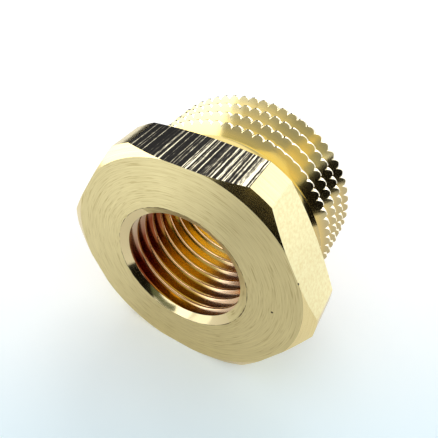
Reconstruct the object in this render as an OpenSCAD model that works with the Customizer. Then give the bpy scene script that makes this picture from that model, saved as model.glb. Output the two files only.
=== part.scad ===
// Hexagon-head reducer bushing, turned from one length of drawn hexagon brass bar.
// A parallel pipe thread outside (G 1/2) takes the larger fitting, and a parallel pipe
// thread inside (G 1/4) takes the smaller one.
// The bushing lies on one flat of its head: +Z is up, +Y runs along the axis from the
// head's front face to the threaded end, and the origin is on the ground under the middle.
// The threads are shown at their crest sizes: a plain cylinder outside, a plain bore inside.

/* [Hexagon head] */
// Width of the hexagon across its flats
across_flats = 22; // [21.6:0.1:23]
// Diameter that the hexagon's six corners are turned down to
corner_d = 24.3; // [23.3:0.05:24.8]
// Thickness of the head, from its front face to the shoulder
head_h = 4.75; // [4:0.05:9]
// Width of the front chamfer at the corners, measured along the radius
face_chamfer_w = 1.02; // [0.6:0.02:1.6]
// Slope of the front chamfer, measured from the face
face_chamfer_angle = 27.6; // [20:0.2:35]
// Width of the back chamfer at the corners, measured along the radius
shoulder_chamfer_w = 1.35; // [0.6:0.05:1.5]
// Slope of the back chamfer, measured from the shoulder
shoulder_chamfer_angle = 24; // [15:0.5:35]

/* [Threaded end] */
// Length of the threaded end, from the shoulder to its tip
shank_l = 10.25; // [8:0.05:18]
// Diameter over the crests of the outside thread
thread_d = 20.8; // [20.6:0.02:21]
// Depth of the relief groove between the shoulder and the thread, below the crests
relief_depth = 1.2; // [0.9:0.05:1.6]
// Width of the relief groove's floor, with its corner
relief_w = 0.95; // [0.85:0.05:1.6]
// Radius of the corner where the relief groove meets the shoulder
relief_corner_r = 0.4; // [0.1:0.05:0.8]
// Slope of the relief groove's far wall, measured from the axis
relief_wall_angle = 65; // [45:1:80]
// Length of the chamfer that leads the thread in, along the axis
tip_chamfer_l = 0.7; // [0.3:0.05:1.2]
// Slope of the lead-in chamfer, measured from the axis
tip_chamfer_angle = 45; // [20:1:50]

/* [Bore] */
// Diameter of the bore over the crests of the inside thread
bore_d = 11.445; // [11.2:0.005:12]
// Width of the countersink at the front face, measured along the radius
mouth_w = 0.76; // [0.4:0.02:1.2]
// Slope of the countersink, measured from the face
mouth_angle = 28; // [20:1:60]
// Width of the countersink at the threaded end, measured along the radius
tip_mouth_w = 0.74; // [0.4:0.02:1.2]
// Slope of the countersink at the threaded end, measured from the end
tip_mouth_angle = 30; // [20:1:60]

/* [Hidden] */
$fn = 96;
brass = [0.80, 0.69, 0.42];
corner_steps = 6;
hexagon_sides = 6;
cut_over = 1;

total_l = head_h + shank_l;
hexagon_d = across_flats / cos(180 / hexagon_sides);
corner_r = corner_d / 2;
face_chamfer_h = face_chamfer_w * tan(face_chamfer_angle);
shoulder_chamfer_h = shoulder_chamfer_w * tan(shoulder_chamfer_angle);
thread_r = thread_d / 2;
relief_r = thread_r - relief_depth;
relief_wall_w = relief_depth / tan(relief_wall_angle);
thread_start = head_h + relief_w + relief_wall_w;
tip_chamfer_h = tip_chamfer_l * tan(tip_chamfer_angle);
bore_r = bore_d / 2;
mouth_depth = mouth_w * tan(mouth_angle);
tip_mouth_depth = tip_mouth_w * tan(tip_mouth_angle);

// Points of an arc, as [radius from the axis, height along it]
function arc_points(centre, r, from, to, steps) =
    [for (i = [0:steps]) let (a = from + (to - from) * i / steps)
        [centre[0] + r * cos(a), centre[1] + r * sin(a)]];

// The outline that the lathe gives the head: a flat face and a chamfer at each side
module turned_head() {
    rotate_extrude()
        polygon([
            [0, 0],
            [corner_r - face_chamfer_w, 0],
            [corner_r, face_chamfer_h],
            [corner_r, head_h - shoulder_chamfer_h],
            [corner_r - shoulder_chamfer_w, head_h],
            [0, head_h]
        ]);
}

// The hexagon bar, with its corners turned down
module head() {
    intersection() {
        translate([0, 0, -cut_over])
            cylinder(h = head_h + 2 * cut_over, d = hexagon_d, $fn = hexagon_sides);
        turned_head();
    }
}

// Relief groove, crests of the outside thread and lead-in chamfer, as one turned form
module threaded_end() {
    corner = arc_points([relief_r + relief_corner_r, head_h + relief_corner_r],
                        relief_corner_r, 270, 180, corner_steps);
    rotate_extrude()
        polygon(concat(
            [[0, head_h - cut_over], [relief_r + relief_corner_r, head_h - cut_over]],
            corner,
            [
                [relief_r, head_h + relief_w],
                [thread_r, thread_start],
                [thread_r, total_l - tip_chamfer_l],
                [thread_r - tip_chamfer_h, total_l],
                [0, total_l]
            ]
        ));
}

// What the drill and the two countersinks take out
module through_bore() {
    rotate_extrude()
        polygon([
            [0, -cut_over],
            [bore_r + mouth_w + cut_over / tan(mouth_angle), -cut_over],
            [bore_r, mouth_depth],
            [bore_r, total_l - tip_mouth_depth],
            [bore_r + tip_mouth_w + cut_over / tan(tip_mouth_angle), total_l + cut_over],
            [0, total_l + cut_over]
        ]);
}

// The whole bushing, laid down on one flat of its head
module bushing() {
    color(brass)
        translate([0, -total_l / 2, across_flats / 2])
            rotate([-90, 0, 0])
                difference() {
                    union() {
                        head();
                        threaded_end();
                    }
                    through_bore();
                }
}

bushing();
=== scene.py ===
"""Hexagon-head reducer bushing in brass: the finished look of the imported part."""
from math import atan2, cos, hypot, pi, radians, sin, tan

import bpy
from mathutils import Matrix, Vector


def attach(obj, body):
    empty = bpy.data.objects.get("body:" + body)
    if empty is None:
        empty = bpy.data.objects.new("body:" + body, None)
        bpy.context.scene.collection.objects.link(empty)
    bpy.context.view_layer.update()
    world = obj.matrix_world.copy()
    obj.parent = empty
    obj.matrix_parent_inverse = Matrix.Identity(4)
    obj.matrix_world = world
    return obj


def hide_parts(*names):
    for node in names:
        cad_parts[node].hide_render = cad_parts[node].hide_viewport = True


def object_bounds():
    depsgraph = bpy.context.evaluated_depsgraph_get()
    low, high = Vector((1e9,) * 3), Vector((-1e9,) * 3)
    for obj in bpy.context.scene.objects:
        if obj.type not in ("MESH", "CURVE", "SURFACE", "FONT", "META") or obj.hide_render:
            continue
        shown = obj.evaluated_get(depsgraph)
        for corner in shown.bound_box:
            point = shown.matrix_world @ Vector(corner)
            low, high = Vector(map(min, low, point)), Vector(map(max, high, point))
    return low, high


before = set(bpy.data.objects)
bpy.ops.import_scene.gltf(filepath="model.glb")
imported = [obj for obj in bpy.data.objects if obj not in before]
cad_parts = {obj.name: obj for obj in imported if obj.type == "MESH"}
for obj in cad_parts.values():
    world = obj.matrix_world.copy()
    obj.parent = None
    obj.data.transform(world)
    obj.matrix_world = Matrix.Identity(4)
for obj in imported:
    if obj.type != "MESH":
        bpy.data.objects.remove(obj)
solid_low, solid_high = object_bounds()
bpy.ops.object.select_all(action="DESELECT")
mm = 0.001

# ---- Hexagon head -----------------------------------------------------------------
# The head of a bushing turned from hexagon brass bar. The lathe faces it, chamfers both
# sides, turns its six corners down a little and leaves a relief groove behind it.
across_flats = solid_high.z - solid_low.z
corner_radius = solid_high.x
face_y = solid_low.y
tip_y = solid_high.y
axis_z = across_flats / 2
head_height = 4.75 * mm
shoulder_y = face_y + head_height
core_end_y = tip_y - 0.5 * mm
face_chamfer_width = 1.02 * mm
face_chamfer_slope = tan(radians(27.6))
shoulder_chamfer_width = 1.35 * mm
shoulder_chamfer_slope = tan(radians(24))
groove_radius = 9.2 * mm
groove_corner = 0.4 * mm
groove_corner_steps = 6
lathe_facets = 360
tool_touch = 0.0001 * mm
flats = [radians(60 * side) for side in range(6)]


def turned(name, outline, facets=lathe_facets):
    """A closed turned form round the bushing's axis, from (radius, y) pairs along its outline."""
    radius, y = outline[0]
    bpy.ops.mesh.primitive_circle_add(
        vertices=facets, radius=radius, fill_type="NGON",
        location=(0, y, axis_z), rotation=(pi / 2, 0, 0))
    form = bpy.context.object
    form.name = name
    bpy.ops.object.transform_apply(location=True, rotation=True, scale=True)
    bpy.ops.object.mode_set(mode="EDIT")
    bpy.ops.mesh.select_all(action="SELECT")
    for next_radius, next_y in outline[1:]:
        bpy.ops.mesh.extrude_region_move(TRANSFORM_OT_translate={"value": (0, next_y - y, 0)})
        bpy.ops.transform.resize(
            value=(next_radius / radius, 1, next_radius / radius),
            center_override=(0, next_y, axis_z))
        radius, y = next_radius, next_y
    bpy.ops.mesh.select_all(action="SELECT")
    bpy.ops.mesh.normals_make_consistent(inside=False)
    bpy.ops.object.mode_set(mode="OBJECT")
    return form


head_outline = [
    (corner_radius - face_chamfer_width, face_y),
    (corner_radius, face_y + face_chamfer_width * face_chamfer_slope),
    (corner_radius, shoulder_y - shoulder_chamfer_width * shoulder_chamfer_slope),
    (corner_radius - shoulder_chamfer_width, shoulder_y),
]
for step in range(groove_corner_steps + 1):
    turn = radians(90 / groove_corner_steps * step)
    head_outline.append((
        groove_radius + groove_corner * (1 - sin(turn)),
        shoulder_y + groove_corner * (1 - cos(turn))))
head_outline.append((groove_radius, core_end_y))

bushing = turned("bushing_brass", head_outline)
bpy.ops.object.mode_set(mode="EDIT")
for flat in flats:
    bpy.ops.mesh.select_all(action="SELECT")
    bpy.ops.mesh.bisect(
        plane_co=(axis_z * sin(flat), 0, axis_z + axis_z * cos(flat)),
        plane_no=(sin(flat), 0, cos(flat)), use_fill=True, clear_outer=True,
        threshold=tool_touch)
bpy.ops.object.mode_set(mode="OBJECT")

# ---- Outside thread ---------------------------------------------------------------
# A parallel pipe thread, G 1/2, cut with a single-point tool up to the relief groove.
# Its crests carry shallow notches, pressed in side by side so that sealing tape or hemp
# grips them, and its first turn is chamfered to lead it in.
outside_pitch = 1.814 * mm
outside_crest_radius = 10.4 * mm
outside_root_radius = 9.24 * mm
outside_crest_width = 0.10 * mm
outside_steps = 240
first_crest_y = face_y + 6.596 * mm
thread_flank = radians(27.5)
pipe_root_round = 0.137
root_steps = 4
run_past = 1 * mm
sunk = 0.05 * mm
groove_wall_y = shoulder_y + 0.95 * mm
crests_start_y = groove_wall_y + 1.75 * mm
lead_in = 0.7 * mm


def thread_profile(root_radius, pitch, crest):
    """(radius, y) pairs over one pitch, from root to root, about a crest at y = 0.

    The root is rounded, and crest holds the points on from the flank's foot to the middle."""
    round_radius = pipe_root_round * pitch
    turn_out = pi / 2 - thread_flank
    half = []
    for step in range(root_steps + 1):
        turn = turn_out * step / root_steps
        half.append((
            root_radius + round_radius * (1 - cos(turn)),
            -pitch / 2 + round_radius * sin(turn)))
    half = half + crest
    other_half = [(radius, -y) for radius, y in reversed(half)]
    return half + [point for point in other_half if point[1] > 0]


def threaded_rod(name, profile, pitch, crest_y, low_y, high_y, steps):
    """A closed rod with a right-hand thread: one pitch of profile, screwed along the axis."""
    turns = int((high_y - low_y) / pitch) + 5
    back_turns = int((crest_y - low_y) / pitch) + 2
    bpy.ops.mesh.primitive_plane_add(size=1 * mm, location=(0, 0, 0))
    rod = bpy.context.object
    rod.name = name
    bpy.ops.object.mode_set(mode="EDIT")
    bpy.ops.mesh.select_all(action="SELECT")
    bpy.ops.mesh.merge(type="CENTER")
    radius, y = profile[0]
    bpy.ops.transform.translate(value=(0, y, radius))
    for next_radius, next_y in profile[1:]:
        bpy.ops.mesh.extrude_vertices_move(
            TRANSFORM_OT_translate={"value": (0, next_y - y, next_radius - radius)})
        radius, y = next_radius, next_y
    bpy.ops.object.mode_set(mode="OBJECT")
    screw = rod.modifiers.new("screw", "SCREW")
    screw.axis = "Y"
    screw.angle = 2 * pi
    screw.screw_offset = pitch
    screw.iterations = turns
    screw.steps = screw.render_steps = steps
    screw.use_smooth_shade = False
    bpy.ops.object.modifier_apply(modifier="screw")
    rod.location = (0, crest_y - back_turns * pitch, axis_z)
    bpy.ops.object.transform_apply(location=True, rotation=True, scale=True)
    bpy.ops.object.mode_set(mode="EDIT")
    bpy.ops.mesh.select_all(action="SELECT")
    bpy.ops.mesh.remove_doubles(threshold=0.001 * mm)
    for end_y, outward in ((low_y, -1), (high_y, 1)):
        bpy.ops.mesh.select_all(action="SELECT")
        bpy.ops.mesh.bisect(
            plane_co=(0, end_y, axis_z), plane_no=(0, outward, 0),
            use_fill=True, clear_outer=True, threshold=tool_touch)
    bpy.ops.mesh.select_all(action="SELECT")
    bpy.ops.mesh.normals_make_consistent(inside=False)
    bpy.ops.object.mode_set(mode="OBJECT")
    return rod


def machined(piece, tool, operation):
    """Joins, keeps or cuts the tool's form in the piece, and takes the tool away."""
    bpy.ops.object.select_all(action="DESELECT")
    bpy.context.view_layer.objects.active = piece
    step = piece.modifiers.new(tool.name, "BOOLEAN")
    step.operation = operation
    step.solver = "MANIFOLD"
    step.object = tool
    bpy.ops.object.modifier_apply(modifier=step.name)
    bpy.data.objects.remove(tool)


# The thread is made a little over its crests, and the form after it cuts them to shape.
crest_over = 0.05 * mm
outside_profile = thread_profile(outside_root_radius, outside_pitch, [
    (outside_crest_radius + crest_over, crest_over * tan(thread_flank) - outside_crest_width / 2)])
outside_thread = threaded_rod(
    "outside_thread", outside_profile, outside_pitch, first_crest_y,
    shoulder_y - run_past, tip_y + run_past, outside_steps)

# The form over the crests. It rises slowly past the groove, where the tool runs in: each
# pair is how far it has risen, and how far past the groove that is, in millimetres.
crest_outline = [
    (groove_radius - sunk, shoulder_y - 0.5 * mm),
    (groove_radius - sunk, groove_wall_y),
]
for rise, run in [(0.10, 0.70), (0.22, 1.00), (0.48, 1.25), (0.85, 1.50)]:
    crest_outline.append((groove_radius + rise * mm, groove_wall_y + run * mm))
crest_outline += [
    (outside_crest_radius, crests_start_y),
    (outside_crest_radius, tip_y - lead_in),
    (outside_crest_radius - lead_in, tip_y),
]

# Between two notches the crest bulges out as a lobe. Up on the right the first turns are
# worn, and their notches are shallower.
notches = 65
notch_depth = 0.38 * mm
first_lobe = radians(2.7)
facets_per_lobe = 10
most_worn_turn = radians(31)
worn_reach = radians(17)
worn_off_front = 0.88
worn_off_back = 0.35
front_turns_end_y = 1 * mm
crests = turned("crests", crest_outline, notches * facets_per_lobe)
lobe_turn = 2 * pi / notches
half_lobe = outside_crest_radius * lobe_turn / 2
for corner in crests.data.vertices:
    x, z = corner.co.x, corner.co.z - axis_z
    if hypot(x, z) < outside_crest_radius - 0.02 * mm:
        continue
    facet = round((atan2(x, z) % (2 * pi)) / (2 * pi) * notches * facets_per_lobe)
    turn = first_lobe + (facet / facets_per_lobe - 0.5) * lobe_turn
    worn = max(0, 1 - ((turn - most_worn_turn) / worn_reach) ** 2)
    worn_off = worn_off_front if corner.co.y < front_turns_end_y else worn_off_back
    depth = notch_depth * (1 - worn_off * worn)
    lobe_round = (half_lobe ** 2 + depth ** 2) / (2 * depth)
    across = ((facet % facets_per_lobe) / facets_per_lobe - 0.5) * 2 * half_lobe
    radius = outside_crest_radius - lobe_round + (lobe_round ** 2 - across ** 2) ** 0.5
    corner.co.x = radius * sin(turn)
    corner.co.z = axis_z + radius * cos(turn)
machined(outside_thread, crests, "INTERSECT")
machined(bushing, outside_thread, "UNION")

# ---- Inside thread ----------------------------------------------------------------
# The bore is drilled right through, countersunk at both ends and tapped G 1/4 over its
# whole length for the smaller pipe.
inside_pitch = 1.337 * mm
inside_crest_radius = 5.7225 * mm
inside_root_radius = 6.5785 * mm
inside_crest_y = face_y + 0.854 * mm
inside_steps = 150
mouth_width = 0.76 * mm
mouth_slope = tan(radians(28))
tip_mouth_width = 0.74 * mm
tip_mouth_slope = tan(radians(30))

tap_crest_round = pipe_root_round * inside_pitch
tap_crest = []
for step in range(root_steps, -1, -1):
    turn = (pi / 2 - thread_flank) * step / root_steps
    tap_crest.append((
        inside_root_radius - tap_crest_round * (1 - cos(turn)), -tap_crest_round * sin(turn)))
tap = threaded_rod(
    "tap", thread_profile(inside_crest_radius, inside_pitch, tap_crest), inside_pitch,
    inside_crest_y + inside_pitch / 2, face_y - run_past, tip_y + run_past, inside_steps)

# The tap only cuts past the countersink, which stays whole.
bore_facets = 300
mouth_y = face_y + mouth_width * mouth_slope
tapped_length = turned("tapped_length", [
    (inside_crest_radius - 0.3 * mm, mouth_y - 0.1 * mm),
    (inside_crest_radius - 0.02 * mm, mouth_y),
    (inside_root_radius + 0.1 * mm, mouth_y + 0.12 * mm),
    (inside_root_radius + 0.1 * mm, tip_y + 0.5 * mm),
], bore_facets)
machined(tap, tapped_length, "INTERSECT")
machined(bushing, tap, "DIFFERENCE")

# The drill and both countersinks, as one tool. It stays just inside the tap's crests.
over = 0.5 * mm
drill_radius = inside_crest_radius - 0.02 * mm
drill = turned("drill", [
    (inside_crest_radius + mouth_width + over / mouth_slope, face_y - over),
    (drill_radius, face_y + (inside_crest_radius + mouth_width - drill_radius) * mouth_slope),
    (drill_radius, tip_y - (inside_crest_radius + tip_mouth_width - drill_radius) * tip_mouth_slope),
    (inside_crest_radius + tip_mouth_width + over / tip_mouth_slope, tip_y + over),
], bore_facets)
machined(bushing, drill, "DIFFERENCE")

# Two small pits in the face, each with its middle and its radius.
pits = [
    (Vector((8.71 * mm, face_y, 11.23 * mm)), 0.10 * mm),
    (Vector((10.17 * mm, face_y, 15.6 * mm)), 0.16 * mm),
]
for middle, size in pits:
    bpy.ops.mesh.primitive_uv_sphere_add(segments=16, ring_count=8, radius=size, location=middle)
    pit = bpy.context.object
    pit.name = "pit"
    bpy.ops.object.transform_apply(location=True, rotation=True, scale=True)
    machined(bushing, pit, "DIFFERENCE")

sharpest_smooth = radians(21)
bpy.ops.object.select_all(action="DESELECT")
bushing.select_set(True)
bpy.context.view_layer.objects.active = bushing
bpy.ops.object.shade_smooth_by_angle(angle=sharpest_smooth)

# ---- Brass ------------------------------------------------------------------------
# Bare free-cutting brass. The turned faces keep fine rings from the tool, the drawn flats
# are mottled, the top one has the lines of the die over a painted dark reflection, the
# outside thread has painted shade and painted highlights on its crests, and the bore has
# painted shade and painted coloured reflections down in the roots of its thread.


def bare_metal(name, roughness):
    """A metal finish with its node tree and its shader, still without a colour."""
    finish = bpy.data.materials.new(name)
    finish.use_nodes = True
    tree = finish.node_tree
    shader = tree.nodes["Principled BSDF"]
    shader.inputs["Metallic"].default_value = 1.0
    shader.inputs["Roughness"].default_value = roughness
    return finish, tree, shader


def sum_of(tree, operation, first, second=0.0):
    """The result of one piece of arithmetic on numbers or other nodes' results."""
    node = tree.nodes.new("ShaderNodeMath")
    node.operation = operation
    for socket, value in zip(node.inputs, (first, second)):
        if isinstance(value, (int, float)):
            socket.default_value = value
        else:
            tree.links.new(value, socket)
    return node.outputs[0]


def place_on_part(tree):
    """How far right of the axis, along it, above it and out from it a point lies."""
    split = tree.nodes.new("ShaderNodeSeparateXYZ")
    tree.links.new(tree.nodes.new("ShaderNodeTexCoord").outputs["Object"], split.inputs[0])
    x, y = split.outputs["X"], split.outputs["Y"]
    z = sum_of(tree, "SUBTRACT", split.outputs["Z"], axis_z)
    square = sum_of(tree, "ADD", sum_of(tree, "MULTIPLY", x, x), sum_of(tree, "MULTIPLY", z, z))
    return x, y, z, sum_of(tree, "SQRT", square)


def marks(tree, first, second, third, detail):
    """Noise over three distances, each given in marks."""
    join = tree.nodes.new("ShaderNodeCombineXYZ")
    for socket, value in zip(join.inputs, (first, second, third)):
        tree.links.new(value, socket)
    noise = tree.nodes.new("ShaderNodeTexNoise")
    noise.inputs["Scale"].default_value = 1.0
    noise.inputs["Detail"].default_value = detail
    noise.inputs["Roughness"].default_value = 0.6
    tree.links.new(join.outputs[0], noise.inputs["Vector"])
    return noise.outputs["Fac"]


def shades(tree, level, steps):
    """The colour that goes with a level, from (level, colour) pairs."""
    ramp = tree.nodes.new("ShaderNodeValToRGB")
    for step in steps[2:]:
        ramp.color_ramp.elements.new(step[0])
    for stop, (position, colour) in zip(ramp.color_ramp.elements, steps):
        stop.position = position
        stop.color = (*colour, 1)
    tree.links.new(level, ramp.inputs["Fac"])
    return ramp.outputs["Color"]


def times(tree, first, second):
    """Two colours multiplied."""
    mix = tree.nodes.new("ShaderNodeMix")
    mix.data_type = "RGBA"
    mix.blend_type = "MULTIPLY"
    mix.inputs[0].default_value = 1.0
    tree.links.new(first, mix.inputs[6])
    tree.links.new(second, mix.inputs[7])
    return mix.outputs[2]


def rings(tree, place, across, along, detail):
    """Fine rings round the axis, so many across to the metre, broken along their length."""
    x, y, z, radius = place
    return marks(
        tree, sum_of(tree, "MULTIPLY", sum_of(tree, "ADD", radius, y), across),
        sum_of(tree, "MULTIPLY", sum_of(tree, "DIVIDE", x, radius), along),
        sum_of(tree, "MULTIPLY", sum_of(tree, "DIVIDE", z, radius), along), detail)


def raised(tree, level, height, shader):
    """Gives the surface a fine relief."""
    bump = tree.nodes.new("ShaderNodeBump")
    bump.inputs["Strength"].default_value = 1.0
    bump.inputs["Distance"].default_value = height
    tree.links.new(level, bump.inputs["Height"])
    tree.links.new(bump.outputs["Normal"], shader.inputs["Normal"])


# The faced front and back: soft rings, a few dark scratches and a dark burr at the bore.
faced_brass, tree, shader = bare_metal("faced_brass", 0.36)
burr_radius = 6.50 * mm
place = place_on_part(tree)
fine = rings(tree, place, across=12000, along=3, detail=1)
scratch = rings(tree, place, across=13000, along=5, detail=1)
tone = shades(tree, fine, [(0.30, (0.71, 0.625, 0.325)), (0.70, (0.82, 0.735, 0.405))])
worn = shades(tree, scratch, [(0.57, (1, 1, 1)), (0.72, (0.76, 0.72, 0.63))])
radius = place[3]
off_burr = sum_of(tree, "ABSOLUTE", sum_of(tree, "SUBTRACT", radius, burr_radius))
broken = rings(tree, place, across=300, along=7, detail=2)
burr_level = sum_of(
    tree, "ADD", sum_of(tree, "MULTIPLY", off_burr, 6000), sum_of(tree, "MULTIPLY", broken, 1.1))
burr = shades(tree, burr_level, [(0.56, (0.08, 0.05, 0.03)), (0.78, (1, 1, 1))])
tree.links.new(times(tree, times(tree, tone, worn), burr), shader.inputs["Base Color"])
raised(tree, fine, 0.0012 * mm, shader)

# The chamfers, corners and relief: a closer, brighter cut.
turned_brass, tree, shader = bare_metal("turned_brass", 0.16)
fine = rings(tree, place_on_part(tree), across=7000, along=3, detail=1)
tone = shades(tree, fine, [(0.3, (0.88, 0.75, 0.38)), (0.7, (0.94, 0.82, 0.44))])
tree.links.new(tone, shader.inputs["Base Color"])
raised(tree, fine, 0.0006 * mm, shader)

# The countersink: burnished by the tool.
burnished_brass, tree, shader = bare_metal("burnished_brass", 0.07)
shader.inputs["Base Color"].default_value = (0.90, 0.78, 0.46, 1)

# The drawn flats: plain, with a fine mottle.
drawn_brass, tree, shader = bare_metal("drawn_brass", 0.28)
x, y, z, radius = place_on_part(tree)
mottle = marks(
    tree, sum_of(tree, "MULTIPLY", x, 4200), sum_of(tree, "MULTIPLY", y, 3000),
    sum_of(tree, "MULTIPLY", z, 4200), detail=3)
tone = shades(tree, mottle, [(0.34, (0.91, 0.80, 0.42)), (0.62, (1.0, 0.94, 0.56))])
tree.links.new(tone, shader.inputs["Base Color"])
raised(tree, mottle, 0.0008 * mm, shader)

# The top flat: straight light lines of the die, thicker to the right, over a dark painted reflection
# that the colour lightens towards the right.
die_lines_painted_reflection_brass, tree, shader = bare_metal("die_lines_painted_reflection_brass", 0.30)
x, y, z, radius = place_on_part(tree)
lines = marks(
    tree, sum_of(tree, "MULTIPLY", x, 4700), sum_of(tree, "MULTIPLY", y, 22),
    sum_of(tree, "MULTIPLY", z, 1), detail=2)
broken = marks(
    tree, sum_of(tree, "MULTIPLY", x, 9000), sum_of(tree, "MULTIPLY", y, 1300),
    sum_of(tree, "MULTIPLY", z, 1), detail=2)
level = sum_of(tree, "ADD", sum_of(tree, "MULTIPLY", lines, 0.8), sum_of(tree, "MULTIPLY", broken, 0.2))
# Painted reflection: the flat is painted lighter towards the right.
level = sum_of(tree, "ADD", level, sum_of(tree, "MULTIPLY", x, 10))
tone = shades(tree, level, [
    (0.475, (0.006, 0.005, 0.004)), (0.53, (0.035, 0.031, 0.024)), (0.565, (0.31, 0.28, 0.20)),
    (0.60, (0.82, 0.76, 0.54))])
tree.links.new(tone, shader.inputs["Base Color"])
raised(tree, lines, 0.002 * mm, shader)

# The outside thread: painted bounce light and shade, yellow in the roots and duller out on the flanks,
# and painted shade lower down.
threaded_painted_shade_brass, tree, shader = bare_metal("threaded_painted_shade_brass", 0.11)
place = place_on_part(tree)
fine = rings(tree, place, across=7000, along=6, detail=1)
x, y, z, radius = place
thread_depth = outside_crest_radius - groove_radius
out_of_root = sum_of(
    tree, "MULTIPLY", sum_of(tree, "SUBTRACT", radius, groove_radius), 1 / thread_depth)
tone = shades(tree, out_of_root, [
    (0.0, (1.0, 0.82, 0.28)), (0.40, (1.0, 0.80, 0.32)), (0.75, (0.76, 0.65, 0.34)),
    (1.0, (0.72, 0.65, 0.38))])
# Painted shade: darker lower down.
height = sum_of(tree, "MULTIPLY", z, 100)
painted_low_shade = shades(tree, height, [(0.36, (0.84, 0.80, 0.80)), (0.52, (1, 1, 1))])
tree.links.new(times(tree, tone, painted_low_shade), shader.inputs["Base Color"])
raised(tree, fine, 0.0008 * mm, shader)

# The thread's crests: worn bright, with a painted highlight along them.
worn_crest_highlight_brass, tree, shader = bare_metal("worn_crest_highlight_brass", 0.12)
shader.inputs["Base Color"].default_value = (0.97, 0.91, 0.72, 1)

# The inside of the pits in the face: dark and dull.
dark_pit_lining, tree, shader = bare_metal("dark_pit_lining", 0.8)
shader.inputs["Base Color"].default_value = (0.05, 0.04, 0.025, 1)
shader.inputs["Metallic"].default_value = 0.0

# The tapped bore: painted shade and painted coloured reflections in the roots of its thread, red-brown
# up on the left and gold down on the right and far in. The right side is painted paler, a painted glow
# lies further in and higher up, and painted highlights show on the crests.
tapped_painted_light_brass, tree, shader = bare_metal("tapped_painted_light_brass", 0.17)
place = place_on_part(tree)
fine = rings(tree, place, across=5000, along=5, detail=1)
x, y, z, radius = place
into_root = sum_of(
    tree, "MULTIPLY", sum_of(tree, "SUBTRACT", radius, 5.72 * mm), 1 / (0.86 * mm))
# Painted reflections: the colour of the roots changes from upper left to lower right.
side = sum_of(tree, "ADD", sum_of(tree, "SUBTRACT", x, z), y)
side = sum_of(tree, "ADD", sum_of(tree, "MULTIPLY", side, 30), 0.55)
roots = shades(tree, side, [
    (0.13, (0.86, 0.76, 0.56)), (0.20, (0.60, 0.42, 0.30)), (0.28, (0.30, 0.07, 0.03)),
    (0.38, (0.36, 0.10, 0.03)), (0.48, (0.62, 0.38, 0.05)), (0.66, (0.86, 0.62, 0.13)),
    (0.80, (1.0, 0.84, 0.40)), (0.92, (1.0, 0.88, 0.55))])
# Painted reflections: paler on the right, and a pale gold glow further in and higher up.
painted_pale_share = sum_of(tree, "SUBTRACT", sum_of(tree, "MULTIPLY", x, 450), 0.1)
painted_glow_share = sum_of(
    tree, "SUBTRACT", sum_of(tree, "MULTIPLY", sum_of(tree, "ADD", y, z), 260), 1.1)
for share, colour in ((painted_pale_share, (0.78, 0.58, 0.42)), (painted_glow_share, (1.0, 0.90, 0.58))):
    mix = tree.nodes.new("ShaderNodeMix")
    mix.data_type = "RGBA"
    mix.inputs[7].default_value = (*colour, 1)
    tree.links.new(sum_of(tree, "MINIMUM", sum_of(tree, "MAXIMUM", share, 0.0), 0.9), mix.inputs[0])
    tree.links.new(roots, mix.inputs[6])
    roots = mix.outputs[2]
# Painted highlight on the crests.
painted_crest_highlight = shades(tree, into_root, [(0.0, (0.84, 0.60, 0.36)), (0.10, (0.70, 0.46, 0.25))])
mix = tree.nodes.new("ShaderNodeMix")
mix.data_type = "RGBA"
tree.links.new(sum_of(tree, "MINIMUM", sum_of(tree, "MULTIPLY", into_root, 8), 1.0), mix.inputs[0])
tree.links.new(painted_crest_highlight, mix.inputs[6])
tree.links.new(roots, mix.inputs[7])
tree.links.new(mix.outputs[2], shader.inputs["Base Color"])
raised(tree, fine, 0.0003 * mm, shader)

finishes = (
    faced_brass, turned_brass, drawn_brass, die_lines_painted_reflection_brass, threaded_painted_shade_brass, worn_crest_highlight_brass,
    tapped_painted_light_brass, dark_pit_lining, burnished_brass)
bushing.data.materials.clear()
for finish in finishes:
    bushing.data.materials.append(finish)

# Each face gets the finish of the tool that made it, told by its place and its direction.
# The upper right of the countersink is left as dull as the front face.
close = 0.01 * mm
square_on = 0.999
crest_band = 0.45 * mm
for face in bushing.data.polygons:
    x, y, z = face.center.x, face.center.y, face.center.z - axis_z
    out = hypot(x, z)
    endways = abs(face.normal.y)
    on_flat = max(x * sin(flat) + z * cos(flat) for flat in flats) > axis_z - close
    in_pit = any((face.center - middle).length < size for middle, size in pits)
    if in_pit and endways < square_on:
        finish = dark_pit_lining
    elif endways > square_on:
        finish = faced_brass
        face.use_smooth = False
    elif on_flat and endways < 0.1:
        finish = die_lines_painted_reflection_brass if face.normal.z > 0.9 else drawn_brass
        face.use_smooth = False
    elif out < inside_root_radius + close:
        off_mouth = inside_crest_radius + mouth_width - out - (y - face_y) / mouth_slope
        if abs(off_mouth) >= 2 * close:
            finish = tapped_painted_light_brass
        elif x + z > 1.5 * mm and x > -3.5 * mm:
            finish = faced_brass
        else:
            finish = burnished_brass
    elif y > groove_wall_y - 0.1 * mm:
        on_crest = out > outside_crest_radius - crest_band and endways < 0.2
        finish = worn_crest_highlight_brass if on_crest else threaded_painted_shade_brass
    else:
        finish = turned_brass
    face.material_index = finishes.index(finish)

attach(bushing, "root")
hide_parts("bushing")

# ---- Floor and light --------------------------------------------------------------
# A white sheet in soft daylight. Cards that only the metal sees give it its darks and
# its bright edges, as the room round a small bright part does.
bpy.ops.object.select_all(action="DESELECT")
bpy.ops.mesh.primitive_plane_add(size=1.6, location=(0, 0, 0))
floor = bpy.context.object
floor.name = "floor"
white_paper = bpy.data.materials.new("white_paper")
white_paper.use_nodes = True
tree = white_paper.node_tree
shader = tree.nodes["Principled BSDF"]
shader.inputs["Roughness"].default_value = 0.9
shader.inputs["Specular IOR Level"].default_value = 0.1
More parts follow.
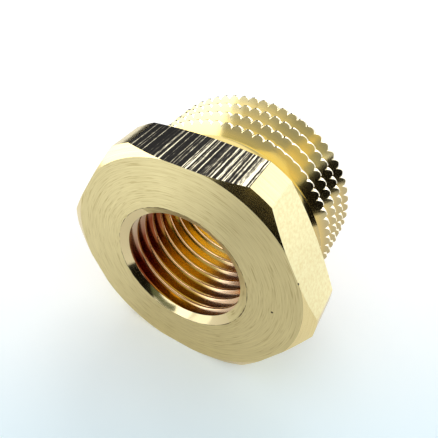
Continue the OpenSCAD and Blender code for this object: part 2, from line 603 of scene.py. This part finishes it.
# Painted shade: it grows a little bluer and darker towards the camera.
fall = tree.nodes.new("ShaderNodeMapping")
fall.inputs["Location"].default_value = (0.62, 0, 0)
fall.inputs["Rotation"].default_value = (0, 0, radians(-122.3))
fall.inputs["Scale"].default_value = (28, 28, 1)
towards_back = tree.nodes.new("ShaderNodeTexGradient")
tree.links.new(tree.nodes.new("ShaderNodeTexCoord").outputs["Object"], fall.inputs["Vector"])
tree.links.new(fall.outputs["Vector"], towards_back.inputs["Vector"])
paper_with_painted_shade = shades(tree, towards_back.outputs["Fac"], [
    (0.0, (0.70, 0.87, 0.96)), (0.45, (0.88, 0.94, 0.96)), (0.75, (0.95, 0.95, 0.95))])
# The metal sees it as plain warm paper.
path = tree.nodes.new("ShaderNodeLightPath")
mix = tree.nodes.new("ShaderNodeMix")
mix.data_type = "RGBA"
mix.inputs[7].default_value = (0.90, 0.885, 0.86, 1)
tree.links.new(path.outputs["Is Glossy Ray"], mix.inputs[0])
tree.links.new(paper_with_painted_shade, mix.inputs[6])
tree.links.new(mix.outputs[2], shader.inputs["Base Color"])
# Seen directly the paper also glows a little: painted light that lifts its shadow.
seen_directly = path.outputs["Is Camera Ray"]
tree.links.new(paper_with_painted_shade, shader.inputs["Emission Color"])
tree.links.new(sum_of(tree, "MULTIPLY", seen_directly, 0.17), shader.inputs["Emission Strength"])
floor.data.materials.append(white_paper)


def card(name, place, size, facing, tone, glow):
    """A card that only shows in the metal, turned to face a point; a glowing one is a light.

    Its middle, its width and height and the point that it faces are in millimetres."""
    bpy.ops.object.select_all(action="DESELECT")
    towards = Vector(facing) - Vector(place)
    bpy.ops.mesh.primitive_plane_add(
        size=1 * mm, location=[length * mm for length in place],
        rotation=towards.to_track_quat("Z", "Y").to_euler())
    sheet = bpy.context.object
    sheet.name = name
    sheet.scale = (size[0], size[1], 1)
    paper = bpy.data.materials.new(name)
    paper.use_nodes = True
    shader = paper.node_tree.nodes["Principled BSDF"]
    shader.inputs["Base Color"].default_value = (*tone, 1)
    shader.inputs["Roughness"].default_value = 1.0
    shader.inputs["Specular IOR Level"].default_value = 0.0
    shader.inputs["Emission Color"].default_value = (1, 1, 1, 1)
    shader.inputs["Emission Strength"].default_value = glow
    sheet.data.materials.append(paper)
    sheet.visible_camera = False
    sheet.visible_diffuse = False
    sheet.visible_shadow = False


# Dark and coloured cards in front of the bushing and behind it.
black = (0.01, 0.008, 0.006)
card("black_card", (49.5, -40, 11.5), (61, 26), (49.5, 0, 11.5), black, 0)
card("black_card_middle", (14.5, -40, 14), (9, 31), (14.5, 0, 14), black, 0)
card("black_card_left", (3.5, -40, 16), (13, 35), (3.5, 0, 16), black, 0)
card("gold_card", (20, -42, 26), (30, 28), (20, 0, 26), (0.86, 0.68, 0.31), 0)
card("grey_card", (15, -62, 38), (94, 48), (15, 0, 38), (0.46, 0.43, 0.34), 0)
card("pale_card", (15, -62, 66), (94, 8), (15, 0, 66), (0.65, 0.60, 0.47), 0)
card("mouth_card", (-1.4, -25, 2.1), (3.6, 4.0), (-1.4, 0, 2.1), black, 0)
card("mouth_edge_card", (-2.4, -25, 4.6), (5.6, 0.9), (-2.4, 0, 4.6), (0.14, 0.16, 0.09), 0)
card("corner_card", (-48, 42, 20), (44, 17), (0, 0, 20), black, 0)
card("back_black_card", (-45, 80, 60), (44, 40), (0, 0, 20), black, 0)

# Sheets and windows that glow, round about.
no_tone = (0, 0, 0)
card("low_sheet", (-17, -41, 0.3), (12, 34), (-17, -41, 20), no_tone, 1.25)
card("back_sheet", (0, 34, 0.3), (60, 44), (0, 34, 20), no_tone, 1.6)
card("left_window", (-78, -62, 36), (80, 80), (0, 0, 20), no_tone, 2.1)
card("low_window", (-16, -76, 5), (48, 12), (0, 0, 5), no_tone, 1.6)
card("right_sheet", (66, 52, 7), (70, 24), (12, -3, 12), no_tone, 1.12)
card("right_window", (62, 130, 92), (90, 70), (8, 0, 18), no_tone, 1.6)

daylight = bpy.data.worlds.new("daylight")
bpy.context.scene.world = daylight
daylight.use_nodes = True
tree = daylight.node_tree
sky = tree.nodes["Background"]
sky.inputs["Color"].default_value = (1, 1, 1, 1)
path = tree.nodes.new("ShaderNodeLightPath")
seen = sum_of(tree, "MAXIMUM", path.outputs["Is Camera Ray"], path.outputs["Is Glossy Ray"])
strength = sum_of(tree, "ADD", sum_of(tree, "MULTIPLY", seen, 0.2), 0.8)
tree.links.new(strength, sky.inputs["Strength"])

bpy.ops.object.light_add(
    type="AREA", location=(-60 * mm, 140 * mm, 150 * mm),
    rotation=(radians(-50), 0, radians(-23)))
window = bpy.context.object
window.name = "window"
window.data.shape = "RECTANGLE"
window.data.size = 160 * mm
window.data.size_y = 120 * mm
window.data.energy = 0.12

# ---- Camera -----------------------------------------------------------------------
# Close in, in front of the face, above it and to its right, with the view shifted a little.
bpy.ops.object.camera_add(
    location=(13.788 * mm, -30.591 * mm, 41.241 * mm),
    rotation=(radians(49.5339), radians(-0.5151), radians(32.341)))
camera = bpy.context.object
camera.name = "camera"
camera.data.sensor_width = 36
camera.data.lens = 37.632
camera.data.shift_x = 0.1027
camera.data.shift_y = -0.0294
camera.data.clip_start = 1 * mm
camera.data.clip_end = 10
bpy.context.scene.camera = camera

bpy.context.scene.view_settings.view_transform = "Standard"
